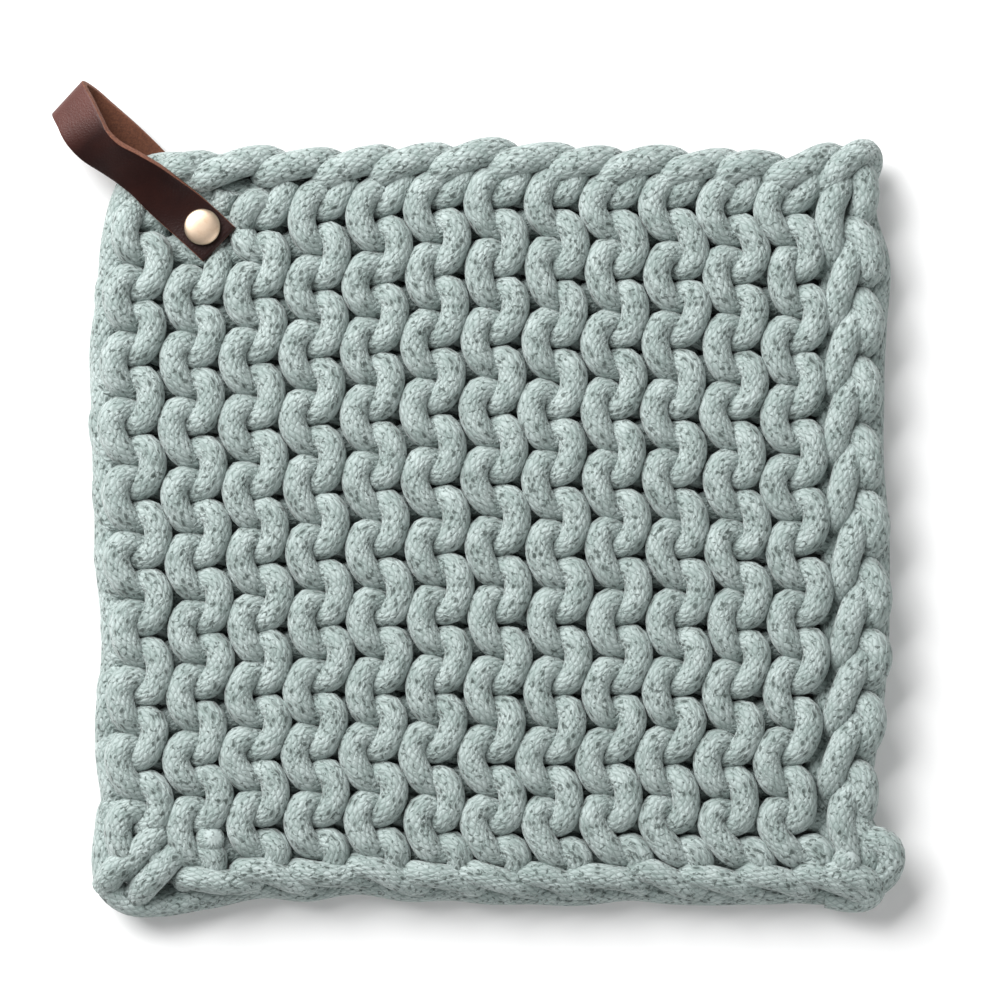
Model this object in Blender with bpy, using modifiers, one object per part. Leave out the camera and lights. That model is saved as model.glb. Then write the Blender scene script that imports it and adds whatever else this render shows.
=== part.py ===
# A square pot holder that lies flat: a thick garter-stitch panel of braided cotton cord, and a
# leather hanging loop riveted through its upper left corner. Metres, +Z up. The origin is the
# middle of the flat underside, +X runs across the knitted ridges and +Y along them.

import math

import bmesh
import bpy
import numpy as np
from mathutils import Vector

MM = 0.001

# Knit panel
PANEL_WIDTH = 202.2 * MM
PANEL_HEIGHT = 194.2 * MM
PANEL_THICK = 15.0 * MM
RIM_ROUND = 6.5 * MM
RIM_WALL_SHARE = 0.3
RIDGES = 12
CAST_ON_WIDTH = 5.3 * MM
BIND_OFF_WIDTH = 15.6 * MM
SELVEDGE_WIDTH = 11.2 * MM
GROOVE_DEPTH = 3.2 * MM
SELVEDGE_GROOVE_REACH = 4.0 * MM
RIDGE_PITCH = (PANEL_WIDTH - CAST_ON_WIDTH - BIND_OFF_WIDTH) / RIDGES
STEPS_PER_RIDGE = 5
FIELD_ROWS = 13
CAST_ON_STEPS = (0.0, 0.15, 0.4, 0.7)
BIND_OFF_STEPS = (0.85, 0.7, 0.5, 0.35, 0.2, 0.1, 0.03, 0.0)
SELVEDGE_STEPS = (0.0, 0.12, 0.32, 0.6, 0.85, 1.0)

# Hanging strap: a strip folded round the corner, its two ends riveted above and below the knit
STRAP_WIDTH = 12.0 * MM
STRAP_THICK = 1.8 * MM
STRAP_EDGE_ROUND = 0.25 * MM
STRAP_HEADING = math.radians(136.0)
STRAP_STATIONS = 56
STRAP_STEPS_ACROSS = 2
STRAP_BED_CLEARANCE = 0.3 * MM
BED_HEIGHT = 14.0 * MM
BED_STATIONS = 24
# Shares of the strap's length: how much of it each bed takes, and how far past its end.
BED_SHARE = 0.34
BED_PAST_END = 0.004

# Rivet
RIVET_X = -73.5 * MM
RIVET_Y = 76.5 * MM
POST_RADIUS = 1.5 * MM
POST_HOLE_RADIUS = 1.85 * MM
CAP_RADIUS = 4.6 * MM
CAP_HEIGHT = 2.1 * MM
CAP_RIM_HEIGHT = 0.7 * MM
CAP_DOME_STEPS = 6
CAP_FOOT_SHARE = 0.97
FLANGE_RADIUS = 4.2 * MM
FLANGE_THICK = 0.8 * MM
FLANGE_CHAMFER = 0.5 * MM
FLANGE_REST_GAP = 0.2 * MM
TURNED_STEPS = 32
PIECE_GAP = 0.3 * MM

# How far each edge of the panel stands out from a true rectangle, in mm.
# Columns: place along the edge from its middle, distance outwards.
LEFT_EDGE = (
    (-97.1, -2.4), (-90.0, 0.9), (-80.0, -0.3), (-69.6, -1.5), (-59.4, 0.0), (-33.8, -1.2),
    (7.0, 0.3), (37.7, 1.5), (53.0, 0.8), (73.4, -1.3), (86.0, -4.0), (97.1, -7.0),
)
RIGHT_EDGE = (
    (-97.1, -1.8), (-90.0, 2.2), (-83.0, 2.6), (-74.7, -1.6), (-44.0, 0.0), (-23.6, 1.5),
    (27.4, 0.0), (53.0, 0.8), (68.3, 0.9), (80.0, -2.4), (91.0, -1.6), (97.1, -2.6),
)
BOTTOM_EDGE = (
    (-101.1, -2.8), (-94.7, 0.6), (-87.0, 1.2), (-64.0, -0.7), (-46.2, -1.7), (-8.0, -0.3),
    (7.4, 0.4), (38.0, -0.3), (66.0, 0.5), (89.1, 0.3), (94.2, 1.9), (101.1, -2.6),
)
TOP_EDGE = (
    (-101.1, -4.5), (-90.0, -2.4), (-79.4, -1.0), (-38.5, -0.5), (4.9, 1.5), (22.7, 0.5),
    (53.4, 0.0), (78.9, -0.8), (89.1, 1.4), (94.2, 2.4), (101.1, -1.6),
)

# The strap's middle line from its front end to its back end, in mm and degrees.
# Columns: distance out from the rivet, sway towards the lower left, height, roll of its width.
STRAP_PATH = (
    (-6.2, 0.0, 11.2, 0.0),
    (0.0, 0.0, 11.2, 0.0),
    (5.0, 0.3, 11.3, 0.0),
    (11.0, 0.6, 12.3, 0.0),
    (18.0, 0.7, 14.3, 1.0),
    (24.0, 1.3, 15.3, 7.0),
    (30.0, 2.9, 15.4, 14.0),
    (36.0, 3.3, 14.9, 18.0),
    (42.3, 2.1, 13.2, 20.0),
    (46.8, 0.0, 9.0, 20.0),
    (43.8, -0.7, 5.0, 19.0),
    (37.5, -1.1, 3.7, 16.0),
    (30.0, -1.4, 3.1, 9.0),
    (24.0, -1.4, 2.4, 3.0),
    (16.0, -1.0, 2.2, 0.0),
    (8.0, -0.4, 2.2, 0.0),
    (0.0, 0.0, 2.2, 0.0),
    (-6.2, 0.0, 2.2, 0.0),
)


def clear_scene():
    for obj in list(bpy.data.objects):
        bpy.data.objects.remove(obj, do_unlink=True)


def new_collection(name):
    collection = bpy.data.collections.new(name)
    bpy.context.scene.collection.children.link(collection)
    return collection


def new_material(name, color, roughness, metallic):
    material = bpy.data.materials.new(name)
    material.use_nodes = True
    shader = material.node_tree.nodes["Principled BSDF"]
    shader.inputs["Base Color"].default_value = (*color, 1.0)
    shader.inputs["Roughness"].default_value = roughness
    shader.inputs["Metallic"].default_value = metallic
    return material


def object_from_bmesh(name, shape, collection, material=None):
    mesh = bpy.data.meshes.new(name)
    shape.to_mesh(mesh)
    shape.free()
    mesh.shade_smooth()
    mesh.set_sharp_from_angle(angle=math.radians(50.0))
    obj = bpy.data.objects.new(name, mesh)
    collection.objects.link(obj)
    if material:
        mesh.materials.append(material)
    return obj


def smooth_through(table, places):
    """One row of smoothly joined values for each place, through the table's rows."""
    rows = np.array(table)
    known = rows[:, 0]
    slopes = np.gradient(rows[:, 1:], known, axis=0)
    index = np.clip(np.searchsorted(known, places) - 1, 0, len(known) - 2)
    span = (known[index + 1] - known[index])[:, None]
    part = (places - known[index])[:, None] / span
    start, end = rows[index, 1:], rows[index + 1, 1:]
    return (
        start * (2 * part**3 - 3 * part**2 + 1)
        + end * (3 * part**2 - 2 * part**3)
        + slopes[index] * span * (part**3 - 2 * part**2 + part)
        + slopes[index + 1] * span * (part**3 - part**2)
    )


def edge_bulge(table, places):
    return smooth_through(table, places / MM)[:, 0] * MM


def panel_plan(across, along):
    """The panel's points in plan, from places measured from its lower left corner."""
    x = across - PANEL_WIDTH / 2
    y = along - PANEL_HEIGHT / 2
    right_share = across / PANEL_WIDTH
    top_share = along / PANEL_HEIGHT
    left = edge_bulge(LEFT_EDGE, y)
    right = edge_bulge(RIGHT_EDGE, y)
    bottom = edge_bulge(BOTTOM_EDGE, x)
    top = edge_bulge(TOP_EDGE, x)
    x = x + right * right_share - left * (1 - right_share)
    y = y + top * top_share - bottom * (1 - top_share)
    return x, y


def groove(distance, reach):
    """1 in the middle of a groove, falling smoothly to 0 at its reach."""
    near = np.clip(np.abs(distance) / reach, 0.0, 1.0)
    return np.cos(near * math.pi / 2) ** 2


def panel_heights(across, along):
    """The panel's upper and lower heights: ridges along Y between two selvedges, round rims."""
    nearest_groove = np.clip(np.rint((across - CAST_ON_WIDTH) / RIDGE_PITCH), 0, RIDGES)
    from_groove = across - CAST_ON_WIDTH - nearest_groove * RIDGE_PITCH
    to_selvedge = np.minimum(along, PANEL_HEIGHT - along) - SELVEDGE_WIDTH
    in_field = np.clip(to_selvedge / SELVEDGE_GROOVE_REACH + 1.0, 0.0, 1.0)
    depth = np.maximum(
        groove(from_groove, RIDGE_PITCH / 2) * in_field,
        groove(to_selvedge, SELVEDGE_GROOVE_REACH),
    )
    to_side = np.minimum(across, PANEL_WIDTH - across)
    to_end = np.minimum(along, PANEL_HEIGHT - along)
    inwards = 1.0 - np.clip(np.minimum(to_side, to_end) / RIM_ROUND, 0.0, 1.0)
    fullness = RIM_WALL_SHARE + (1 - RIM_WALL_SHARE) * np.sqrt(1 - inwards**2)
    middle = PANEL_THICK / 2
    upper = middle + (middle - GROOVE_DEPTH * depth) * fullness
    lower = middle - middle * fullness
    return upper, lower


def panel_stations():
    """Places across and along the panel, closer together where it is rounded."""
    cast_on = CAST_ON_WIDTH * np.array(CAST_ON_STEPS)
    ridge_steps = np.arange(RIDGES * STEPS_PER_RIDGE + 1) / STEPS_PER_RIDGE
    field = CAST_ON_WIDTH + RIDGE_PITCH * ridge_steps
    bind_off = PANEL_WIDTH - BIND_OFF_WIDTH * np.array(BIND_OFF_STEPS)
    across = np.concatenate([cast_on, field, bind_off])
    selvedge = SELVEDGE_WIDTH * np.array(SELVEDGE_STEPS)
    field_start = SELVEDGE_WIDTH + SELVEDGE_GROOVE_REACH
    rows = np.linspace(field_start, PANEL_HEIGHT - field_start, FIELD_ROWS + 1)
    along = np.concatenate([selvedge, rows, PANEL_HEIGHT - selvedge[::-1]])
    return across, along


def knit_panel(collection, material):
    across, along = panel_stations()
    shape = bmesh.new()
    columns, rows = len(across) - 1, len(along) - 1
    bmesh.ops.create_grid(shape, x_segments=columns, y_segments=rows, size=1.0)
    grid = np.array([vert.co for vert in shape.verts])
    place_across = across[np.rint((grid[:, 0] + 1) / 2 * columns).astype(int)]
    place_along = along[np.rint((grid[:, 1] + 1) / 2 * rows).astype(int)]
    x, y = panel_plan(place_across, place_along)
    upper, lower = panel_heights(place_across, place_along)
    under = list(shape.verts)
    raised = bmesh.ops.extrude_face_region(shape, geom=shape.faces[:], use_keep_orig=True)
    over = [item for item in raised["geom"] if isinstance(item, bmesh.types.BMVert)]
    grid_index = {tuple(np.round(vert.co, 5)): i for i, vert in enumerate(under)}
    for vert in over:
        i = grid_index[tuple(np.round(vert.co, 5))]
        vert.co = (x[i], y[i], upper[i])
    for i, vert in enumerate(under):
        vert.co = (x[i], y[i], lower[i])
    bmesh.ops.recalc_face_normals(shape, faces=shape.faces[:])
    return object_from_bmesh("knit_panel", shape, collection, material)


def strap_axes():
    """The strap's direction away from the rivet, and its direction of sway."""
    out = Vector((math.cos(STRAP_HEADING), math.sin(STRAP_HEADING), 0.0))
    sway = Vector((-out.y, out.x, 0.0))
    return out, sway


def strap_stations(first_share, last_share, count):
    """Points, across-vectors and normals along a share of the strap's middle line."""
    rows = np.array(STRAP_PATH)
    steps = np.linalg.norm(np.diff(rows[:, :3], axis=0), axis=1)
    length = np.concatenate([[0.0], np.cumsum(steps)])
    table = np.column_stack([length, rows])
    places = np.linspace(first_share, last_share, count) * length[-1]
    path = smooth_through(table, places)
    out, sway = strap_axes()
    rivet = Vector((RIVET_X, RIVET_Y, 0.0))
    points = [
        rivet + out * row[0] * MM + sway * row[1] * MM + Vector((0.0, 0.0, row[2] * MM))
        for row in path
    ]
    stations = []
    for i, point in enumerate(points):
        ahead = points[min(i + 1, count - 1)]
        behind = points[max(i - 1, 0)]
        tangent = (ahead - behind).normalized()
        roll = math.radians(path[i, 3])
        wide = -sway * math.cos(roll) + Vector((0.0, 0.0, math.sin(roll)))
        wide = (wide - tangent * wide.dot(tangent)).normalized()
        stations.append((point, wide, wide.cross(tangent).normalized()))
    return stations


def strip(name, stations, width, lift, collection, material=None):
    """An open strip along the stations, moved along its normal by the lift."""
    shape = bmesh.new()
    lengthwise = len(stations) - 1
    bmesh.ops.create_grid(
        shape, x_segments=lengthwise, y_segments=STRAP_STEPS_ACROSS, size=1.0
    )
    for vert in shape.verts:
        point, wide, normal = stations[round((vert.co.x + 1) / 2 * lengthwise)]
        vert.co = point - wide * (vert.co.y * width / 2) + normal * lift
    return object_from_bmesh(name, shape, collection, material)


def add_solidify(obj, thickness, offset):
    modifier = obj.modifiers.new("thickness", "SOLIDIFY")
    modifier.thickness = thickness
    modifier.offset = offset
    modifier.use_even_offset = False


def cut(obj, cutter):
    modifier = obj.modifiers.new(cutter.name, "BOOLEAN")
    modifier.operation = "DIFFERENCE"
    modifier.object = cutter


def as_cutter(obj):
    obj.hide_render = True
    obj.display_type = "WIRE"
    return obj


def post_hole(collection):
    shape = bmesh.new()
    bmesh.ops.create_cone(
        shape,
        cap_ends=True,
        segments=TURNED_STEPS,
        radius1=POST_HOLE_RADIUS,
        radius2=POST_HOLE_RADIUS,
        depth=2 * PANEL_THICK,
    )
    obj = object_from_bmesh("post_hole", shape, collection)
    obj.location = (RIVET_X, RIVET_Y, PANEL_THICK / 2)
    return as_cutter(obj)


def strap_bed(name, first_share, last_share, collection):
    """The room that one leg of the strap takes in the knit, open away from the knit."""
    stations = strap_stations(first_share, last_share, BED_STATIONS)
    facing_knit = -(STRAP_THICK / 2 + STRAP_BED_CLEARANCE)
    width = STRAP_WIDTH + 2 * STRAP_BED_CLEARANCE
    obj = strip(name, stations, width, facing_knit, collection)
    add_solidify(obj, BED_HEIGHT, 1.0)
    return as_cutter(obj)


def hanging_strap(collection, material):
    stations = strap_stations(0.0, 1.0, STRAP_STATIONS)
    obj = strip("hanging_strap", stations, STRAP_WIDTH, 0.0, collection, material)
    add_solidify(obj, STRAP_THICK, 0.0)
    bevel = obj.modifiers.new("rounded_edges", "BEVEL")
    bevel.width = STRAP_EDGE_ROUND
    bevel.segments = 1
    bevel.limit_method = "ANGLE"
    bevel.angle_limit = math.radians(60.0)
    return obj


def turned(name, profile, collection, material):
    """A turned piece on the rivet's axis, from radius and height pairs that run top to bottom."""
    mesh = bpy.data.meshes.new(name)
    edges = [(i, i + 1) for i in range(len(profile) - 1)]
    mesh.from_pydata([(radius, 0.0, height) for radius, height in profile], edges, [])
    mesh.materials.append(material)
    obj = bpy.data.objects.new(name, mesh)
    obj.location = (RIVET_X, RIVET_Y, 0.0)
    collection.objects.link(obj)
    screw = obj.modifiers.new("turn", "SCREW")
    screw.steps = TURNED_STEPS
    screw.render_steps = TURNED_STEPS
    screw.use_merge_vertices = True
    screw.merge_threshold = 0.00001
    screw.use_smooth_shade = True
    return obj


def strap_top_at_rivet():
    return STRAP_PATH[0][2] * MM + STRAP_THICK / 2


def rivet_cap(collection, material):
    base = strap_top_at_rivet() + PIECE_GAP
    dome_height = CAP_HEIGHT - CAP_RIM_HEIGHT
    dome = [
        (CAP_RADIUS * math.sin(angle), base + CAP_RIM_HEIGHT + dome_height * math.cos(angle))
        for angle in np.linspace(0.0, math.pi / 2, CAP_DOME_STEPS + 1)
    ]
    profile = dome + [(CAP_RADIUS * CAP_FOOT_SHARE, base), (0.0, base)]
    return turned("rivet_cap", profile, collection, material)


def rivet_post(collection, material):
    top = strap_top_at_rivet()
    bottom = FLANGE_REST_GAP
    shoulder = bottom + FLANGE_THICK
    profile = [
        (0.0, top),
        (POST_RADIUS, top),
        (POST_RADIUS, shoulder),
        (FLANGE_RADIUS, shoulder),
        (FLANGE_RADIUS, shoulder - FLANGE_THICK / 2),
        (FLANGE_RADIUS - FLANGE_CHAMFER, bottom),
        (0.0, bottom),
    ]
    return turned("rivet_post", profile, collection, material)


def main():
    clear_scene()
    parts = new_collection("pot_holder")
    cutters = new_collection("cutters")
    cotton = new_material("braided_cotton_cord", (0.30, 0.38, 0.36), 0.9, 0.0)
    leather = new_material("oiled_leather", (0.075, 0.026, 0.018), 0.5, 0.0)
    brass = new_material("polished_brass", (0.82, 0.60, 0.40), 0.3, 1.0)

    panel = knit_panel(parts, cotton)
    strap = hanging_strap(parts, leather)
    rivet_cap(parts, brass)
    rivet_post(parts, brass)

    hole = post_hole(cutters)
    cut(panel, strap_bed("front_leg_bed", -BED_PAST_END, BED_SHARE, cutters))
    cut(panel, strap_bed("back_leg_bed", 1.0 - BED_SHARE, 1.0 + BED_PAST_END, cutters))
    cut(panel, hole)
    cut(strap, hole)


main()
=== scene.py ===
import math

import bmesh
import bpy
import numpy as np
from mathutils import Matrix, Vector


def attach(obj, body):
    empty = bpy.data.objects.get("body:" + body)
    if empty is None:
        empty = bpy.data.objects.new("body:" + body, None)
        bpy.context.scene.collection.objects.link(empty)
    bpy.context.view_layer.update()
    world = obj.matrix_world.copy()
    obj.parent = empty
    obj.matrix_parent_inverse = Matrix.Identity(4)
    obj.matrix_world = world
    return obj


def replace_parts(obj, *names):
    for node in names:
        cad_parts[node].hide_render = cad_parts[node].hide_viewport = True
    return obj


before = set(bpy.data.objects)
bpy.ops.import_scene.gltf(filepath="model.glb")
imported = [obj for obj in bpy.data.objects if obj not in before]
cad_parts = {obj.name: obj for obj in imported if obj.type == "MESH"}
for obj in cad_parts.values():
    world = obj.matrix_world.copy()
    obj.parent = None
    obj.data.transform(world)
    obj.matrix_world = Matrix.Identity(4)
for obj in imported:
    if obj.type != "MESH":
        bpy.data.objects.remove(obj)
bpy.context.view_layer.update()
mm = 0.001


def toLinear(hexColour):
    # sRGB hex to the linear colour that the shaders want
    parts = [int(hexColour[i:i + 2], 16) / 255 for i in (1, 3, 5)]
    return tuple(p / 12.92 if p <= 0.04045 else ((p + 0.055) / 1.055) ** 2.4 for p in parts) + (1.0,)


def addNode(tree, kind, inputs=(), out=0, stops=(), **settings):
    # adds a node and gives back one of its outputs; inputs, by place or by name, are sockets, plain
    # values or hex colours, and stops are a ramp's places, each with a hex colour or a grey
    node = tree.nodes.new(kind if "Node" in kind else "ShaderNode" + kind)
    for name, value in settings.items():
        setattr(node, name, value)
    for place, value in inputs.items() if isinstance(inputs, dict) else enumerate(inputs):
        if isinstance(value, bpy.types.NodeSocket):
            tree.links.new(value, node.inputs[place])
        else:
            node.inputs[place].default_value = toLinear(value) if str(value)[0] == "#" else value
    band = node.color_ramp.elements if stops else ()
    while len(band) < len(stops):
        band.new(0.5)
    for element, (place, shade) in zip(band, stops):
        element.position = place
        element.color = toLinear(shade) if isinstance(shade, str) else (shade, shade, shade, 1)
    return node.outputs[out] if len(node.outputs) else node


def newMaterial(name):
    # a material, its tree, and the Object coordinates that its patterns read
    material = bpy.data.materials.new(name)
    material.use_nodes = True
    tree = material.node_tree
    return material, tree, addNode(tree, "TexCoord", out="Object")


def finishMaterial(tree, colour, height, strength, plain):
    # links the colour and the relief, in metres, and sets what is the same all over
    shader = tree.nodes["Principled BSDF"].inputs
    relief = addNode(tree, "Bump", {"Height": height, "Strength": strength, "Distance": 1.0})
    tree.links.new(colour, shader["Base Color"])
    tree.links.new(relief, shader["Normal"])
    for name, value in plain.items():
        shader[name].default_value = value


def placed(name, data):
    # a new object at the origin
    obj = bpy.data.objects.new(name, data)
    bpy.context.scene.collection.objects.link(obj)
    return obj


def turnFacesOut(mesh):
    shape = bmesh.new()
    shape.from_mesh(mesh)
    bmesh.ops.recalc_face_normals(shape, faces=shape.faces)
    shape.to_mesh(mesh)
    shape.free()


def smoothThrough(table, places):
    # smooth values through the rows of a table, for each place in its first column
    rows = np.array(table, float)
    known = rows[:, 0]
    slopes = np.gradient(rows[:, 1:], known, axis=0)
    i = np.clip(np.searchsorted(known, places) - 1, 0, len(known) - 2)
    span = (known[i + 1] - known[i])[:, None]
    f = (places - known[i])[:, None] / span
    return (rows[i, 1:] * (2 * f**3 - 3 * f**2 + 1) + rows[i + 1, 1:] * (3 * f**2 - 2 * f**3)
            + slopes[i] * span * (f**3 - 2 * f**2 + f) + slopes[i + 1] * span * (f**3 - f**2))


def smoothLine(points, step):
    # evenly spaced points on a smooth curve through given ones
    points = np.array(points, float)
    lengths = np.concatenate([[0], np.cumsum(np.linalg.norm(np.diff(points, axis=0), axis=1))])
    fine = smoothThrough(np.column_stack([lengths, points]), np.linspace(0, lengths[-1], len(points) * 12))
    return evenly(fine, step)


def evenly(points, step):
    # the same line with its points about one step apart
    lengths = np.concatenate([[0], np.cumsum(np.linalg.norm(np.diff(points, axis=0), axis=1))])
    count = max(2, int(round(lengths[-1] / step)) + 1)
    places = np.linspace(0, lengths[-1], count)
    return np.column_stack([np.interp(places, lengths, points[:, i]) for i in range(points.shape[1])])


# knitted panel: sizes in mm, places from the panel's middle, heights from the table
knit = {
    "ridges": 12,  # two rows each
    "stitches": 10,
    "width": 202.2,
    "height": 194.2,
    "firstRidge": -90.0,
    "ridgePitch": 15.22,
    "stitchPitch": 17.64,
    "firstHeadUp": 89.5,
    "cordWide": 7.25,
    "cordSides": 16,
    "thick": 15.6,
    "frontRunsOn": 0.05,  # how far past its last head a row goes, in stitches
    "backRunsOn": 0.13,
    "frontEndsDive": -2.0,  # how far the ends of a row go down under the edges, or up into them
    "backEndsRise": 0.5,
    "wander": 0.34,  # unevenness, and how far it reaches
    "wanderReach": 20,
    "wanderWaves": 14,
    "nodeStep": 1.5,
    "seed": 11,
}

# how far each edge stands out from a true rectangle, mm: place along it, distance outwards
leftEdge = ((-97.1, -2.4), (-90.0, 0.9), (-80.0, -0.3), (-69.6, -1.5), (-59.4, 0.0), (-33.8, -1.2),
            (7.0, 0.3), (37.7, 1.5), (53.0, 0.8), (73.4, -1.3), (86.0, -4.0), (97.1, -7.0))
rightEdge = ((-97.1, -1.8), (-90.0, 2.2), (-83.0, 2.6), (-74.7, -1.6), (-44.0, 0.0), (-23.6, 1.5),
             (27.4, 0.0), (53.0, 0.8), (68.3, 0.9), (80.0, -2.4), (91.0, -1.6), (97.1, -2.6))
bottomEdge = ((-101.1, -2.8), (-94.7, 0.6), (-87.0, 1.2), (-64.0, -0.7), (-46.2, -1.7), (-8.0, -0.3),
              (7.4, 0.4), (38.0, -0.3), (66.0, 0.5), (89.1, 0.3), (94.2, 1.9), (101.1, -2.6))
topEdge = ((-101.1, -4.5), (-90.0, -2.4), (-79.4, -1.0), (-38.5, -0.5), (4.9, 1.5), (22.7, 0.5),
           (53.4, 0.0), (78.9, -0.8), (89.1, 1.4), (94.2, 2.4), (101.1, -1.6))


def bulge(table, places):
    # how far an edge stands out at each place, and past its corners as at the corner
    reach = table[-1][0]
    return smoothThrough(table, np.clip(places, -reach, reach))[:, 0]


def unevenPlan(points):
    # moves a straight plan into the panel's uneven outline
    moved = points.copy()
    x, y = points[:, 0], points[:, 1]
    rightShare = np.clip(x / knit["width"] + 0.5, 0, 1)
    topShare = np.clip(y / knit["height"] + 0.5, 0, 1)
    moved[:, 0] = x + bulge(rightEdge, y) * rightShare - bulge(leftEdge, y) * (1 - rightShare)
    moved[:, 1] = y + bulge(topEdge, x) * topShare - bulge(bottomEdge, x) * (1 - topShare)
    return moved


def wander(points, seed):
    # smooth random shifts in plan, so that neighbouring stitches move together
    rng = np.random.default_rng(seed)
    spread = knit["wander"] / math.sqrt(knit["wanderWaves"] / 2)
    shift = np.zeros((len(points), 2))
    for _ in range(knit["wanderWaves"]):
        turn = rng.uniform(0, 2 * math.pi)
        wave = 2 * math.pi / (knit["wanderReach"] * rng.uniform(0.7, 1.8))
        phase = points[:, 0] * wave * math.cos(turn) + points[:, 1] * wave * math.sin(turn)
        shift += np.outer(np.sin(phase + rng.uniform(0, 6.3)), rng.normal(0, spread, 2))
    return shift


# one stitch of a row, from head to head: mm towards +X from the row's middle, mm up from the
# head's middle, face (1 the head's, -1 the foot's) and share of the full cord radius
stitchRoute = (
    (8.5, 1.2, 1.0, 1.0),
    (8.3, -1.5, 1.0, 1.0),
    (7.1, -4.2, 0.95, 1.0),
    (5.0, -5.7, 0.62, 0.97),
    (2.6, -5.8, 0.1, 0.9),
    (-0.5, -4.8, -0.25, 0.82),
    (-4.2, -2.8, -0.45, 0.9),
    (-7.0, -2.2, -0.85, 0.98),
    (-8.8, -4.4, -1.0, 1.0),
    (-9.1, -7.4, -1.0, 1.0),
    (-8.4, -10.3, -1.0, 1.0),
    (-7.0, -12.8, -0.9, 1.0),
    (-5.0, -14.2, -0.5, 0.95),
    (-2.0, -14.3, -0.3, 0.9),
    (1.5, -13.4, 0.0, 0.82),
    (4.6, -12.3, 0.4, 0.9),
    (6.8, -12.3, 0.85, 0.98),
    (8.2, -14.1, 1.0, 1.0),
)

# the corner under the leather is drawn down: mm by place across, times a share by height
drawnAcross = ((-101, 2.6), (-90, 3.1), (-74.8, 5.6), (-59.6, 4.9), (-44.3, 2.9), (-29, 1.9), (-14, 0.2),
               (0, 0))
drawnUp = ((-97, 0), (-68, -0.1), (-50, 0.1), (-33, 0.25), (-16, 0.36), (19, 0.58), (54, 0.8), (72, 1.0),
           (82, 0.9), (90, 0.6), (97, 0.5))


def drawnDown(points):
    across = smoothThrough(drawnAcross, np.clip(points[:, 0], -101, 0))[:, 0]
    return across * smoothThrough(drawnUp, np.clip(points[:, 1], -97, 97))[:, 0]


def rowRoute(row):
    # heads of the loops towards +X and feet towards -X, on opposite faces; even rows have front heads
    side = 1 if row % 2 == 0 else -1
    middle = knit["firstRidge"] + row // 2 * knit["ridgePitch"] - side * knit["ridgePitch"] / 4
    one = np.array(stitchRoute)
    if row == 0:
        feet = one[:, 0] < 0  # the cast-on edge has nothing to reach back to
        one[feet, 0] *= 0.45
        one[feet, 2] *= 0.5
    steps = np.arange(len(one)) / len(one)
    last = knit["stitches"]
    many = []
    for stitch in range(-1, last + 2):
        moved = one.copy()
        moved[:, 1] += knit["firstHeadUp"] - stitch * knit["stitchPitch"]
        many.append(np.column_stack([stitch + steps, moved]))
    along = np.arange(0.01, last + (knit["frontRunsOn"] if side == 1 else knit["backRunsOn"]), 1 / 40)
    x, y, face, thick = smoothThrough(np.concatenate(many), along).T
    half = knit["thick"] / 2
    z = half + side * (half - knit["cordWide"] / 2) * np.clip(face, -1, 1)
    ends = np.exp(-along / 0.1) + np.exp((along - last) / 0.08)  # gone within half a stitch
    z = z + ends * (knit["frontEndsDive"] if side == 1 else knit["backEndsRise"])
    points = np.column_stack([x + middle, y, z, thick])
    points[:, :2] += wander(points, knit["seed"])
    points[:, 1] -= drawnDown(points)
    points[:, :2] = unevenPlan(points[:, :2])
    return points


# chain of turning strands along the top edge: mm along, mm outwards, height
topLink = ((1.5, -2.2, 6.0), (0.6, -2.2, 9.0), (1.8, -1.8, 11.6), (4.8, -0.6, 12.4), (8.6, 0.6, 12.0),
           (12.4, 1.3, 10.6), (15.8, 1.2, 8.2), (17.8, -0.2, 5.6), (17.0, -1.6, 4.6))
topStarts = (-94.0, -79.0, -61.5, -46.6, -31.5, -16.7, -0.7, 15.1, 28.6, 45.0, 59.1, 71.9, 86.0)
# the same along the bottom edge, flatter: mm along, mm inwards, height
bottomLink = ((0.0, 1.0, 8.0), (0.8, 1.8, 10.6), (3.0, 1.6, 11.8), (7.0, 0.7, 11.9), (11.0, -0.5, 11.0),
              (15.0, -1.6, 8.8), (17.5, -1.8, 6.0), (16.8, -0.6, 4.2), (15.0, 1.2, 4.0))
# one link of the bind-off chain on the right: mm from where it starts, and height
bindOffLink = ((0.6, 1.5, 7.0), (0.0, -1.5, 10.3), (-1.8, -6.0, 12.0), (-3.5, -12.0, 12.0),
               (-4.4, -16.9, 10.8), (-4.0, -20.0, 8.0), (-2.0, -23.0, 6.0), (1.0, -24.9, 6.4),
               (3.2, -24.5, 8.8), (4.5, -21.9, 11.0), (4.6, -18.2, 11.8), (3.6, -15.2, 11.6),
               (2.2, -13.8, 10.2), (0.9, -13.0, 7.4), (0.6, -10.5, 5.4))

edges = {
    "topUp": 92.4,
    "topLinkLong": 14.45,  # the length that topLink is drawn for
    "bottomFrom": (-77.5, -89.7, 0),
    "bottomStep": (14.05, 0, 0),
    "bottomLinks": 12,
    "bindOffFrom": (90.9, 86.9, 0),
    "bindOffStep": (0.34, -16.85, 0),
    "bindOffLinks": 10,
}


def repeated(link, start, step, count):
    # the same link again and again, a step apart
    return [np.array(link) + start + n * np.array(step) for n in range(count)]


def topChain():
    # the links of the top chain are of uneven length
    many = []
    for start, stop in zip(topStarts, topStarts[1:]):
        link = np.array(topLink)
        link[:, 0] = start + link[:, 0] * (stop - start) / edges["topLinkLong"]
        link[:, 1] += edges["topUp"]
        many.append(link)
    return np.concatenate(many)


def finished(points, thick=1.0):
    # a given route made smooth and moved into the uneven outline
    route = smoothLine(points, knit["nodeStep"])
    route[:, :2] += wander(route, knit["seed"] + 1)
    route[:, :2] = unevenPlan(route[:, :2])
    return np.column_stack([route, np.full(len(route), thick)])


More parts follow.
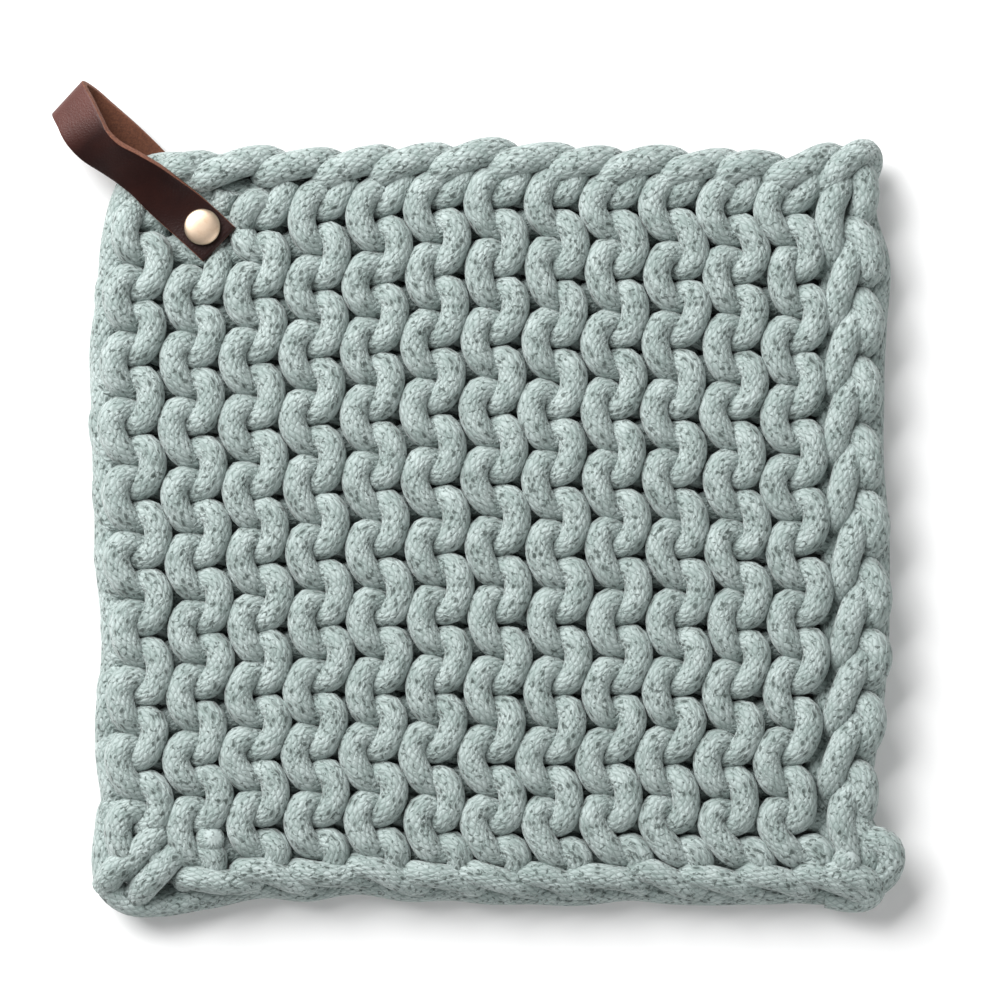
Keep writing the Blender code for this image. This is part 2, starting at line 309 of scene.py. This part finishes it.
def waves(start, stop, depth, step=7.0):
    # a rim strand that rises and falls a little
    start, stop = np.array(start, float), np.array(stop, float)
    count = max(2, int(np.linalg.norm(stop - start) / step))
    points = start + (stop - start) * np.linspace(0, 1, count)[:, None]
    points[:, 2] += depth * np.where(np.arange(count) % 2 == 0, 1, -1)
    return points


def longRim():
    # one strand under the top, right and bottom edges, round both corners
    return np.concatenate([
        waves((-76, 92.9, 4.8), (84, 92.9, 4.8), 0.5, 7.2),
        ((91.0, 92.2, 4.4), (95.8, 89.0, 4.3)),
        waves((97.2, 83, 4.4), (97.2, -62, 4.4), 0.5, 8.4),
        ((96.4, -72.0, 4.3), (95.4, -81.0, 4.2), (92.6, -88.0, 4.2)),
        waves((86, -92.6, 4.4), (-84, -93.2, 4.6), 0.6, 7.0)])


def edgeRoutes():
    e = edges
    bottom = repeated(bottomLink, e["bottomFrom"], e["bottomStep"], e["bottomLinks"])
    routes = [
        finished(topChain(), 1.06),
        finished(np.concatenate(bottom), 0.9),
        finished(waves((-97.5, -84, 5.8), (-97.5, 62, 5.8), 0.7, 8.8)),
        finished(longRim(), 0.96),
        # two strands fill the room between the edge chains and the ridges
        finished(waves((86.0, -80, 6.4), (86.0, 82, 6.4), 0.6, 8.4), 0.96),
        finished(waves((-72, 86.4, 7.2), (86, 86.0, 6.0), 0.4, 7.6), 0.9),
    ]
    bindOff = repeated(bindOffLink, e["bindOffFrom"], e["bindOffStep"], e["bindOffLinks"])
    return routes + [finished(link, 1.02) for link in bindOff]


# strands of the four corners: mm in plan, and height
cornerStrands = {
    "topRightTurn": ((82.7, 82.3, 6.5), (84.5, 86.2, 9.5), (88.6, 91.4, 12.0), (92.4, 94.6, 12.0),
                     (95.2, 95.6, 10.0), (96.6, 93.8, 7.0), (95.8, 90.5, 4.5)),
    "topRightSide": ((92.6, 92.5, 7.0), (94.6, 90.0, 10.0), (95.5, 86.0, 10.6), (94.9, 81.8, 9.6),
                     (92.8, 78.0, 6.5)),
    "topLeftRim": ((-97.0, 58.0, 5.8), (-96.4, 70.6, 6.2), (-95.4, 76.7, 6.4), (-93.9, 82.6, 6.4),
                   (-91.6, 87.6, 6.0), (-87.0, 91.4, 5.6), (-80.0, 92.4, 5.0), (-72.0, 91.6, 4.6)),
    "topLeftFill": ((-91.0, 83.0, 8.4), (-88.0, 86.6, 9.0), (-83.0, 88.4, 9.4), (-77.0, 87.2, 8.4),
                    (-70.0, 86.0, 6.4)),
    "bottomLeftFirst": ((-90.6, -93.8, 7.5), (-87.4, -90.4, 11.5), (-83.2, -85.9, 12.2),
                        (-79.9, -82.3, 10.6), (-78.0, -79.5, 7.5)),
    "bottomLeftSecond": ((-93.0, -88.0, 8.0), (-90.4, -83.9, 11.6), (-85.8, -78.8, 12.0),
                         (-82.6, -76.2, 8.5)),
    "bottomLeftThird": ((-98.4, -91.5, 7.5), (-96.4, -88.0, 11.2), (-93.8, -85.4, 11.8),
                        (-90.4, -83.6, 8.5)),
    "bottomLeftRim": ((-97.6, -76.0, 5.8), (-98.4, -86.0, 7.2), (-97.2, -91.8, 7.4), (-93.2, -95.2, 6.6),
                      (-84.5, -96.0, 5.5), (-74.3, -94.4, 4.8)),
    "bottomLeftTail": ((-76.0, -83.5, 5.0), (-73.4, -81.4, 7.0), (-71.8, -79.6, 11.0),
                       (-70.6, -78.2, 14.6)),
    "bottomRightLobe": ((82.6, -88.6, 9.5), (88.6, -88.0, 12.0), (94.0, -89.2, 11.8), (97.2, -92.0, 9.6),
                        (95.6, -94.4, 7.0), (91.4, -94.8, 5.6), (86.0, -93.8, 4.8)),
    "bottomRightSide": ((91.4, -72.0, 8.0), (93.8, -76.4, 10.0), (96.3, -81.0, 10.2), (96.6, -85.4, 8.8),
                        (94.6, -88.6, 6.4), (91.4, -90.0, 5.0)),
    "bottomRightUnder": ((93.0, -74.0, 7.0), (95.4, -78.6, 8.2), (94.8, -84.0, 7.6), (90.0, -87.0, 6.0)),
    "bottomRightTail": ((85.0, -88.5, 6.0), (88.0, -86.8, 9.5), (90.6, -84.8, 12.8), (92.2, -82.6, 14.2)),
}


cutEnd = {
    "step": 0.6,
    "round": 2.6,  # over how much of its length a cut end is rounded off
}


def cornerRoutes():
    # a tail's cut end is rounded off, as its fibres spread and curl
    made = []
    for name, points in cornerStrands.items():
        isTail = "Tail" in name
        route = smoothLine(points, cutEnd["step"] if isTail else knit["nodeStep"])
        thick = np.ones(len(route))
        if isTail:
            left = np.arange(len(route))[::-1] * cutEnd["step"] / cutEnd["round"]
            thick = np.sqrt(np.clip(1 - np.clip(1 - left, 0, 1) ** 2, 0.01, 1))
        made.append(np.column_stack([route, thick]))
    return made


# leather loop: sizes in mm, its heading in degrees from +X
strap = {
    "rivet": (-73.5, 76.5),
    "heading": 136.0,
    "width": 12.0,
    "thick": 1.8,
    "edgeRound": 0.3,
    "stations": 120,
    "clear": 0.2,  # room between leather and cord
}

# its middle line from the front end to the back end: mm out from the rivet, mm of sway to the lower
# left, height, degrees of roll, and share of its full width
strapPath = (
    (-6.2, 0.2, 11.2, 0, 1), (0, 0.3, 11.2, 0, 1), (6, 0.5, 11.4, 5, 1), (12, 0.9, 12.4, 15, 0.98),
    (18, 1.2, 13.8, 26, 0.95), (24, 2.2, 14.7, 34, 0.92), (29.5, 3.4, 14.9, 38, 0.91),
    (34.5, 3.8, 14.7, 30, 0.96), (39, 3.0, 14.0, 18, 1), (43, 1.6, 12.5, 15, 1), (47.2, 0.1, 9, 16, 1),
    (44.5, -0.7, 5.2, 16, 1), (38, -1.0, 3.8, 14, 1), (30, -1.3, 3.1, 9, 1), (24, -1.3, 2.4, 3, 1),
    (16, -1, 2.2, 0, 1), (8, -0.4, 2.2, 0, 1), (0, 0, 2.2, 0, 1), (-6.2, 0, 2.2, 0, 1))
topOfLoop = 10  # the row of strapPath where it turns back

outWay = Vector((math.cos(math.radians(strap["heading"])), math.sin(math.radians(strap["heading"])), 0))
swayWay = Vector((-outWay.y, outWay.x, 0))


def underAndOver(points, leg):
    # at each point: the height of a leg of the strap, how far from it the cord's middle has to stay,
    # and whether the two are near each other
    flat = points[:, :2] - strap["rivet"]
    out = flat @ np.array(outWay[:2])
    off = np.interp(out, leg[:, 0], leg[:, 1]) - flat @ np.array(swayWay[:2])
    roll = np.tan(np.radians(np.interp(out, leg[:, 0], leg[:, 3])))
    height = np.interp(out, leg[:, 0], leg[:, 2]) + np.clip(off, -6, 6) * roll
    radius = points[:, 3] * knit["cordWide"] / 2
    away = np.hypot(np.maximum(strapPath[0][0] - out, 0), np.maximum(np.abs(off) - strap["width"] / 2, 0))
    cover = np.sqrt(np.maximum(radius**2 - away**2, 0))
    return height, strap["clear"] + strap["thick"] / 2 + cover, (away < radius) & (out < leg[-1, 0])


def keepClearOfLeather(points):
    # cord under the front leg lies lower, and cord over the back leg lies higher
    far = 99.0
    height, reach, near = underAndOver(points, np.array(strapPath[:topOfLoop + 1], float))
    high = np.where(near, height - reach, far)
    height, reach, near = underAndOver(points, np.array(strapPath[:topOfLoop - 1:-1], float))
    low = np.where(near, height + reach, -far)
    pinched = low > high
    z = np.clip(points[:, 2], np.minimum(low, high), np.maximum(low, high))
    shift = np.where(pinched, (low + high) / 2, z) - points[:, 2]
    for _ in range(4):
        shift[1:-1] = (shift[2:] + shift[:-2]) / 4 + shift[1:-1] / 2
    made = points.copy()
    made[:, 2] += shift
    made[:, 3] -= np.where(pinched, np.clip((low - high) / 2, 0, 1.2), 0) / (knit["cordWide"] / 2)
    return made


rows = [keepClearOfLeather(evenly(rowRoute(row), knit["nodeStep"])) for row in range(2 * knit["ridges"])]
borders = [keepClearOfLeather(route) for route in edgeRoutes() + cornerRoutes()]
for name, routes in (("rows", rows), ("edges and corners", borders)):
    metres = sum(np.linalg.norm(np.diff(route[:, :3], axis=0), axis=1).sum() for route in routes) * mm
    print("cord in the " + name + ", m:", round(metres, 2))


def cordTree():
    # sweeps the cord's round section along a route, and stores each point's place along and round it
    tree = bpy.data.node_groups.new("cordAlongRoute", "GeometryNodeTree")
    for name, kind in (("Geometry", "Geometry"), ("Cord radius", "Float"), ("Ring sides", "Int"),
                       ("Material", "Material")):
        tree.interface.new_socket(name, in_out="INPUT", socket_type="NodeSocket" + kind)
    tree.interface.new_socket("Geometry", in_out="OUTPUT", socket_type="NodeSocketGeometry")
    given = tree.nodes.new("NodeGroupInput").outputs
    curve = addNode(tree, "GeometryNodeMeshToCurve", (given[0],))
    run = addNode(tree, "GeometryNodeSplineParameter", out="Length")
    route = addNode(tree, "GeometryNodeStoreNamedAttribute",
                    {"Geometry": curve, "Value": run, "Name": "cordRun"}, data_type="FLOAT", domain="POINT")
    ring = addNode(tree, "GeometryNodeCurvePrimitiveCircle",
                   {"Resolution": given["Ring sides"], "Radius": 1.0})
    place = addNode(tree, "GeometryNodeInputPosition")
    section = addNode(tree, "GeometryNodeStoreNamedAttribute",
                      {"Geometry": ring, "Value": place, "Name": "ringPlace"},
                      data_type="FLOAT_VECTOR", domain="POINT")
    thick = addNode(tree, "GeometryNodeInputNamedAttribute", {"Name": "thick"}, data_type="FLOAT")
    radius = addNode(tree, "Math", (thick, given["Cord radius"]), operation="MULTIPLY")
    tube = addNode(tree, "GeometryNodeCurveToMesh",
                   {"Curve": route, "Profile Curve": section, "Scale": radius, "Fill Caps": True})
    smooth = addNode(tree, "GeometryNodeSetShadeSmooth", (tube,))
    whole = addNode(tree, "GeometryNodeRealizeInstances", (smooth,))
    dressed = addNode(tree, "GeometryNodeSetMaterial", {"Geometry": whole, "Material": given["Material"]})
    addNode(tree, "NodeGroupOutput", (dressed,))
    return tree


def setInputs(modifier, **values):
    # values go by socket name, with _ for a space, and are set by the socket's identifier
    for item in modifier.node_group.interface.items_tree:
        key = item.name.replace(" ", "_")
        if item.item_type == "SOCKET" and item.in_out == "INPUT" and key in values:
            modifier[item.identifier] = values[key]


def plainMesh(obj, name):
    # the evaluated result as a mesh of its own, with no modifier left
    graph = bpy.context.evaluated_depsgraph_get()
    made = placed(name, bpy.data.meshes.new_from_object(obj.evaluated_get(graph)))
    bpy.data.objects.remove(obj)
    return made


def routesObject(name, routes):
    # every route as a chain of edges, with the cord's thickness at each point
    mesh = bpy.data.meshes.new(name)
    points = np.concatenate(routes)
    links, count = [], 0
    for route in routes:
        links += [(i, i + 1) for i in range(count, count + len(route) - 1)]
        count += len(route)
    mesh.from_pydata((points[:, :3] * mm).tolist(), links, [])
    mesh.attributes.new("thick", "FLOAT", "POINT").data.foreach_set("value", points[:, 3])
    return placed(name, mesh)


cotton = {
    "light": "#b0bcba",
    "middle": "#919f9c",
    # painted shade for the creases between the plaits
    "paintedCreaseShade": "#4c5c55",
    "fleck": "#3c4743",
    "plaits": 14,  # round the cord
    "plaitLength": 2.7,  # mm
    "plaitStray": 1.3,  # how far a plait strays from its line, as a share of a plait
    "braidDepth": 0.26,  # mm
    "fibreDepth": 0.22,
    # patterns, as cells in a metre
    "strayScale": 300.0,  # one in 3.3 mm
    "toneScale": 200.0,  # one in 5 mm
    "fleckScale": 900.0,  # one in 1.1 mm
    "fibreScale": 1500.0,  # one in 0.7 mm: real fibres are far finer, and this is what it takes to show
}


def plaitNodes(tree, place):
    # two sets of plaits that cross round the cord: their pillow shape, and a tone for each crossing
    run = addNode(tree, "Attribute", out="Fac", attribute_name="cordRun")
    ring = addNode(tree, "Attribute", out="Vector", attribute_name="ringPlace")
    ring = addNode(tree, "SeparateXYZ", (ring,))
    angle = addNode(tree, "Math", (ring.node.outputs[1], ring), operation="ARCTAN2")
    along = addNode(tree, "Math", (run, 1000 / cotton["plaitLength"]), operation="MULTIPLY")
    around = addNode(tree, "Math", (angle, cotton["plaits"] / (2 * math.pi)), operation="MULTIPLY")
    stray = addNode(tree, "TexNoise",
                    {"Vector": place, "Scale": cotton["strayScale"], "Detail": 2.0, "Roughness": 0.55})
    stray = addNode(tree, "Math", (stray, 0.5), operation="SUBTRACT")
    stray = addNode(tree, "Math", (stray, cotton["plaitStray"]), operation="MULTIPLY")
    numbers, pillow = [], 1.0
    for way in ("ADD", "SUBTRACT"):
        plait = addNode(tree, "Math", (around, along), operation=way)
        plait = addNode(tree, "Math", (plait, stray), operation="ADD")
        numbers.append(addNode(tree, "Math", (plait,), operation="FLOOR"))
        share = addNode(tree, "Math", (plait,), operation="FRACT")
        arch = addNode(tree, "Math", (share, math.pi), operation="MULTIPLY")
        arch = addNode(tree, "Math", (arch,), operation="SINE")
        pillow = addNode(tree, "Math", (pillow, arch), operation="MULTIPLY")
    # the number round the cord wraps, so that both sides of the ring's seam have the same tone
    turn = addNode(tree, "Math", numbers, operation="ADD")
    turn = addNode(tree, "Math", (turn, 400.0 * cotton["plaits"]), operation="ADD")
    turn = addNode(tree, "Math", (turn, 2.0 * cotton["plaits"]), operation="MODULO")
    length = addNode(tree, "Math", numbers, operation="SUBTRACT")
    cell = addNode(tree, "CombineXYZ", (turn, length))
    return pillow, addNode(tree, "TexWhiteNoise", (cell,), out="Value", noise_dimensions="3D")


def cottonMaterial():
    # braided cotton spun from pale and dark fibres: soft crossing plaits, matt, with dark flecks, and
    # painted shade in the creases between the plaits
    material, tree, place = newMaterial("braidedMelangeCotton")
    pillow, cellTone = plaitNodes(tree, place)
    fibre, tone, fleck = (
        addNode(tree, "TexNoise", {"Vector": place, "Scale": scale, "Detail": detail, "Roughness": rough,
                                   "Distortion": bend})
        for scale, detail, rough, bend in ((cotton["fibreScale"], 4.0, 0.65, 0.0),
                                           (cotton["toneScale"], 3.0, 0.6, 0.0),
                                           (cotton["fleckScale"], 2.0, 0.5, 0.4)))
    chosen = addNode(tree, "ValToRGB", (cellTone,), stops=((0.8, 0.0), (0.92, 0.85)))
    raised = addNode(tree, "ValToRGB", (pillow,), stops=((0.3, 0.1), (0.8, 1.0)))
    darkPlait = addNode(tree, "Math", (chosen, raised), operation="MULTIPLY")
    # where the cord thins out at a cut end, the plaits are gone and loose pale fibres are left
    thick = addNode(tree, "Attribute", out="Fac", attribute_name="thick")
    loose = addNode(tree, "ValToRGB", (thick,), stops=((0.5, 1.0), (0.76, 0.0)))
    colour = cotton["middle"]
    # over the middle tone: paler tone, painted shade in the plaits' creases, dark plaits, pale loose ends
    # and dark flecks
    for share, shade in ((addNode(tree, "ValToRGB", (tone,), stops=((0.35, 0.0), (0.68, 1.0))), "light"),
                         (addNode(tree, "ValToRGB", (pillow,), stops=((0.0, 0.42), (0.4, 0.0))), "paintedCreaseShade"),
                         (darkPlait, "fleck"),
                         (loose, "light"),
                         (addNode(tree, "ValToRGB", (fleck,), stops=((0.57, 0.0), (0.66, 0.75))), "fleck")):
        colour = addNode(tree, "Mix", {0: share, 6: colour, 7: cotton[shade]}, out=2, data_type="RGBA")
    braided = addNode(tree, "Math", (1.0, loose), operation="SUBTRACT")
    depth = addNode(tree, "Math", (braided, cotton["braidDepth"] * mm), operation="MULTIPLY")
    fibreHeight = addNode(tree, "Math", (fibre, cotton["fibreDepth"] * mm), operation="MULTIPLY")
    height = addNode(tree, "Math", (pillow, depth, fibreHeight), operation="MULTIPLY_ADD")
    finishMaterial(tree, colour, height, 0.9, {"Roughness": 0.92, "Specular IOR Level": 0.25,
                                               "Sheen Weight": 0.25, "Sheen Roughness": 0.5})
    return material


cottonCord = cottonMaterial()
tubes = cordTree()


def cordPiece(name, routes):
    # a set of routes made one mesh of cord
    obj = routesObject(name + "Route", routes)
    modifier = obj.modifiers.new("cord", "NODES")
    modifier.node_group = tubes
    setInputs(modifier, Cord_radius=knit["cordWide"] / 2 * mm, Ring_sides=knit["cordSides"],
              Material=cottonCord)
    piece = plainMesh(obj, name)
    print(name, "triangles:", 2 * len(piece.data.polygons))
    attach(piece, "root")
    return piece


for name, routes in (("knittedRowsA", rows[::2]), ("knittedRowsB", rows[1::2]), ("knittedEdges", borders)):
    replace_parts(cordPiece(name, routes), "knit_panel")


leather = {
    "grain": "#1c0806",
    "grainWorn": "#34150f",
    # painted sheen for the grain round the bend of the loop
    "grainSheenPainted": "#54302a",
    "flesh": "#74462f",
    "edge": "#84543f",
    "sheenSpan": (-14, -8, 3, 12),  # mm from the top of the loop: where the painted sheen starts and ends
    "poreDepth": 0.12,  # mm
    "grainDepth": 0.03,
    "napDepth": 0.16,
    # patterns, as cells in a metre
    "toneScale": 90.0,  # one in 11 mm
    "poreScale": 1300.0,  # one in 0.8 mm, as coarse as pores need to be to show
    "napScale": 1800.0,  # one in 0.6 mm, coarse for the same reason
}


def leatherMaterial(name, side):
    # oiled hide: grain side dark with a soft sheen and a painted sheen round the bend, flesh side paler and
    # matt, cut edge palest
    material, tree, place = newMaterial(name)
    nap = addNode(tree, "TexNoise",
                  {"Vector": place, "Scale": leather["napScale"], "Detail": 4.0, "Roughness": 0.7})
    if side != "grain":
        worn = addNode(tree, "ValToRGB", (nap,), stops=((0.3, 0.0), (0.75, 0.8)))
        colour = addNode(tree, "Mix", {0: worn, 6: leather[side], 7: leather["grainWorn"]}, out=2,
                         data_type="RGBA")
        height = addNode(tree, "Math", (nap, leather["napDepth"] * mm), operation="MULTIPLY")
        finishMaterial(tree, colour, height, 0.7, {"Roughness": 0.85})
        return material
    tone = addNode(tree, "TexNoise",
                   {"Vector": place, "Scale": leather["toneScale"], "Detail": 4.0, "Roughness": 0.6})
    worn = addNode(tree, "ValToRGB", (tone,), stops=((0.4, 0.0), (0.75, 0.45)))
    # painted sheen: the grain is painted paler round the top of the loop, where the bent hide faces the
    # light, in patches that follow its tone
    sheenAtBend = addNode(tree, "Attribute", out="Fac", attribute_name="pull")
    patchy = addNode(tree, "ValToRGB", (tone,), stops=((0.2, 0.6), (0.7, 1.0)))
    sheenMask = addNode(tree, "Math", (sheenAtBend, patchy), operation="MULTIPLY")
    colour = leather["grain"]
    for share, shade in ((worn, "grainWorn"), (sheenMask, "grainSheenPainted")):
        colour = addNode(tree, "Mix", {0: share, 6: colour, 7: leather[shade]}, out=2, data_type="RGBA")
    pores = addNode(tree, "TexVoronoi", {"Vector": place, "Scale": leather["poreScale"]}, out="Distance",
                    feature="DISTANCE_TO_EDGE")
    fine = addNode(tree, "Math", (nap, leather["grainDepth"] * mm), operation="MULTIPLY")
    height = addNode(tree, "Math", (pores, leather["poreDepth"] * mm, fine), operation="MULTIPLY_ADD")
    finishMaterial(tree, colour, height, 0.7, {"Roughness": 0.42, "Specular IOR Level": 0.24})
    return material


def strapSection():
    # the strap's section, with rounded edges, as places across and through it
    wide, deep, turn = strap["width"] / 2, strap["thick"] / 2, strap["edgeRound"]
    corner = [(math.sin(a), math.cos(a)) for a in (0, math.pi / 6, math.pi / 3, math.pi / 2)]
    inner = [wide * f for f in (-0.86, -0.65, -0.43, -0.22, 0, 0.22, 0.43, 0.65, 0.86)]
    points = [(x, deep) for x in inner]
    points += [(wide - turn + turn * a, deep - turn + turn * b) for a, b in corner]
    points += [(wide - turn + turn * a, -deep + turn - turn * b) for a, b in reversed(corner)]
    points += [(x, -deep) for x in reversed(inner)]
    points += [(-wide + turn - turn * a, -deep + turn - turn * b) for a, b in corner]
    points += [(-wide + turn - turn * a, deep - turn + turn * b) for a, b in reversed(corner)]
    return points


def strapRings(stations, section):
    # the section set square to the middle line at every station
    rivet = Vector((*strap["rivet"], 0))
    line = [rivet + outWay * s[0] + swayWay * s[1] + Vector((0, 0, s[2])) for s in stations]
    verts = []
    for i, point in enumerate(line):
        tangent = (line[min(i + 1, len(line) - 1)] - line[max(i - 1, 0)]).normalized()
        roll = math.radians(stations[i, 3])
        wide = -swayWay * math.cos(roll) + Vector((0, 0, math.sin(roll)))
        wide = (wide - tangent * wide.dot(tangent)).normalized()
        outer = wide.cross(tangent).normalized()
        verts += [(point + wide * a * stations[i, 4] + outer * b) * mm for a, b in section]
    return verts


def strapFaces(section):
    # the strip's faces, and which of them are grain side, flesh side or cut edge
    n, last = len(section), strap["stations"] - 1
    faces, kinds = [], []
    for i in range(last):
        for j in range(n):
            k = (j + 1) % n
            faces.append((i * n + j, i * n + k, (i + 1) * n + k, (i + 1) * n + j))
            high = (section[j][1] + section[k][1]) / 2
            kinds.append(0 if high > strap["thick"] * 0.46 else 1 if high < -strap["thick"] * 0.46 else 2)
    faces += [tuple(range(n))[::-1], tuple(range(last * n, (last + 1) * n))]
    return faces, kinds + [2, 2]


def buildStrap():
    path = np.array(strapPath, float)
    run = np.concatenate([[0], np.cumsum(np.linalg.norm(np.diff(path[:, :3], axis=0), axis=1))])
    places = np.linspace(0, run[-1], strap["stations"])
    section = strapSection()
    faces, kinds = strapFaces(section)
    mesh = bpy.data.meshes.new("leatherLoop")
    mesh.from_pydata(strapRings(smoothThrough(np.column_stack([run, path]), places), section), [], faces)
    for name, side in (("oiledHideGrain", "grain"), ("hideFleshSide", "flesh"), ("hideCutEdge", "edge")):
        mesh.materials.append(leatherMaterial(name, side))
    mesh.polygons.foreach_set("material_index", kinds)
    mesh.polygons.foreach_set("use_smooth", [True] * (len(faces) - 2) + [False, False])
    # how much painted sheen each station of the strip gets, most round the top of the loop
    pull = np.interp(places, [run[topOfLoop] + far for far in leather["sheenSpan"]], (0, 1, 1, 0))
    mesh.attributes.new("pull", "FLOAT", "POINT").data.foreach_set("value", np.repeat(pull, len(section)))
    turnFacesOut(mesh)
    obj = placed("leatherLoop", mesh)
    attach(obj, "root")
    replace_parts(obj, "hanging_strap")
    print("loop triangles:", 2 * len(mesh.polygons), "length of strip, mm:", round(run[-1], 1))


buildStrap()


# brass rivet: sizes in mm
brass = {
    "colour": "#dfc8b0",
    "tarnish": "#b08c6c",
    "roughness": 0.5,
    "steps": 64,
    "capRadius": 4.6,
    "capFoot": 12.4,
    "capRim": 0.7,
    "capRise": 1.3,
    "post": ((1.4, 12.1), (1.5, 12.0), (1.5, 1.2), (1.7, 1.0), (4.0, 1.0), (4.2, 0.8), (4.2, 0.6),
             (3.9, 0.3), (3.6, 0.2)),  # radius and height, down to its flange
    "ringDepth": 0.01,
    # patterns, as waves or cells in a metre, both coarser than real ones, so that they show
    "ringScale": 900.0,
    "patchScale": 420.0,  # one in 2.4 mm
}


def brassMaterial():
    # turned and lacquered brass: fine rings round its axis, a soft shine and a little tarnish
    material, tree, place = newMaterial("turnedBrass")
    axis = (-strap["rivet"][0] * mm, -strap["rivet"][1] * mm, 0)
    centred = addNode(tree, "Mapping", {"Vector": place, "Location": axis})
    rings = addNode(tree, "TexWave",
                    {"Vector": centred, "Scale": brass["ringScale"], "Distortion": 1.5, "Detail": 2.0},
                    out=1, wave_type="RINGS", rings_direction="Z")
    patch = addNode(tree, "TexNoise",
                    {"Vector": place, "Scale": brass["patchScale"], "Detail": 4.0, "Roughness": 0.6})
    share = addNode(tree, "ValToRGB", (patch,), stops=((0.5, 0.0), (0.85, 0.6)))
    colour = addNode(tree, "Mix", {0: share, 6: brass["colour"], 7: brass["tarnish"]}, out=2,
                     data_type="RGBA")
    rough = addNode(tree, "Math", (patch, 0.2, brass["roughness"] - 0.1), operation="MULTIPLY_ADD")
    tree.links.new(rough, tree.nodes["Principled BSDF"].inputs["Roughness"])
    height = addNode(tree, "Math", (rings, brass["ringDepth"] * mm), operation="MULTIPLY")
    finishMaterial(tree, colour, height, 0.3, {"Metallic": 1.0})
    return material


def turned(name, profile, material):
    # a turned piece on the rivet's axis, from radius and height pairs
    count = brass["steps"]
    verts, faces = [], []
    for radius, height in profile:
        for i in range(count):
            angle = 2 * math.pi * i / count
            verts.append(((strap["rivet"][0] + radius * math.cos(angle)) * mm,
                          (strap["rivet"][1] + radius * math.sin(angle)) * mm, height * mm))
    for r in range(len(profile) - 1):
        for i in range(count):
            j = (i + 1) % count
            faces.append((r * count + i, r * count + j, (r + 1) * count + j, (r + 1) * count + i))
    faces += [tuple(range(count)), tuple(range(len(verts) - count, len(verts)))]
    mesh = bpy.data.meshes.new(name)
    mesh.from_pydata(verts, [], faces)
    mesh.materials.append(material)
    turnFacesOut(mesh)
    mesh.polygons.foreach_set("use_smooth", [True] * len(faces))
    return placed(name, mesh)


def capProfile():
    # a low dome, fuller than a ball's, over a rim that rolls in to its foot
    wide, foot = brass["capRadius"], brass["capFoot"]
    dome = [(wide * math.sin(a) ** 0.8, foot + brass["capRim"] + brass["capRise"] * math.cos(a))
            for a in np.linspace(0.03, math.pi / 2, 14)]
    return dome + [(wide - 0.02, foot + 0.35), (wide - 0.15, foot + 0.08), (wide - 0.4, foot), (1.5, foot)]


turnedBrass = brassMaterial()
for name, profile, node in (("rivetCap", capProfile(), "rivet_cap"),
                            ("rivetPost", brass["post"], "rivet_post")):
    obj = turned(name, profile, turnedBrass)
    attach(obj, "root")
    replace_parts(obj, node)
    print(name, "turned,", brass["steps"], "steps round")


# floor, lights and camera, in metres
studio = {
    "floor": "#f6f6f6",
    "floorHalf": 1.5,
    "floorDown": 0.0005,
    "roomLight": 0.22,
    "lights": (("softboxUpperLeft", (-0.85, 0.95, 1.05), 1.3, 56),  # place, size, watts
               ("fillLowerRight", (1.1, -1.0, 0.9), 1.6, 12)),
    "cameraUp": 1.608,
    "cameraAt": (0.0023, 0.0070),
    "viewWide": 0.2553,
    "viewDown": 1.6,  # from the camera to where the view is that wide
}


def buildStage():
    half, down = studio["floorHalf"], -studio["floorDown"]
    mesh = bpy.data.meshes.new("floor")
    mesh.from_pydata([(-half, -half, down), (half, -half, down), (half, half, down), (-half, half, down)],
                     [], [(0, 1, 2, 3)])
    material = bpy.data.materials.new("paleFloor")
    material.use_nodes = True
    shader = material.node_tree.nodes["Principled BSDF"]
    shader.inputs["Base Color"].default_value = toLinear(studio["floor"])
    shader.inputs["Roughness"].default_value = 0.9
    mesh.materials.append(material)
    placed("floor", mesh)


def addLight(name, place, size, energy):
    data = bpy.data.lights.new(name, "AREA")
    data.shape = "SQUARE"
    data.size = size
    data.energy = energy
    lamp = placed(name, data)
    lamp.location = place
    lamp.rotation_euler = (-Vector(place)).to_track_quat("-Z", "Y").to_euler()


def buildCamera():
    data = bpy.data.cameras.new("camera")
    data.sensor_width = 36
    data.lens = data.sensor_width * studio["viewDown"] / studio["viewWide"]
    camera = placed("camera", data)
    camera.location = (*studio["cameraAt"], studio["cameraUp"])
    bpy.context.scene.camera = camera


def lightRoom():
    world = bpy.data.worlds.new("softRoom")
    bpy.context.scene.world = world
    world.use_nodes = True
    room = world.node_tree.nodes["Background"].inputs
    room["Color"].default_value = (1, 1, 1, 1)
    room["Strength"].default_value = studio["roomLight"]


buildStage()
for light in studio["lights"]:
    addLight(*light)
lightRoom()
buildCamera()
bpy.context.scene.view_settings.view_transform = "Standard"
print("stage, lights and camera set")
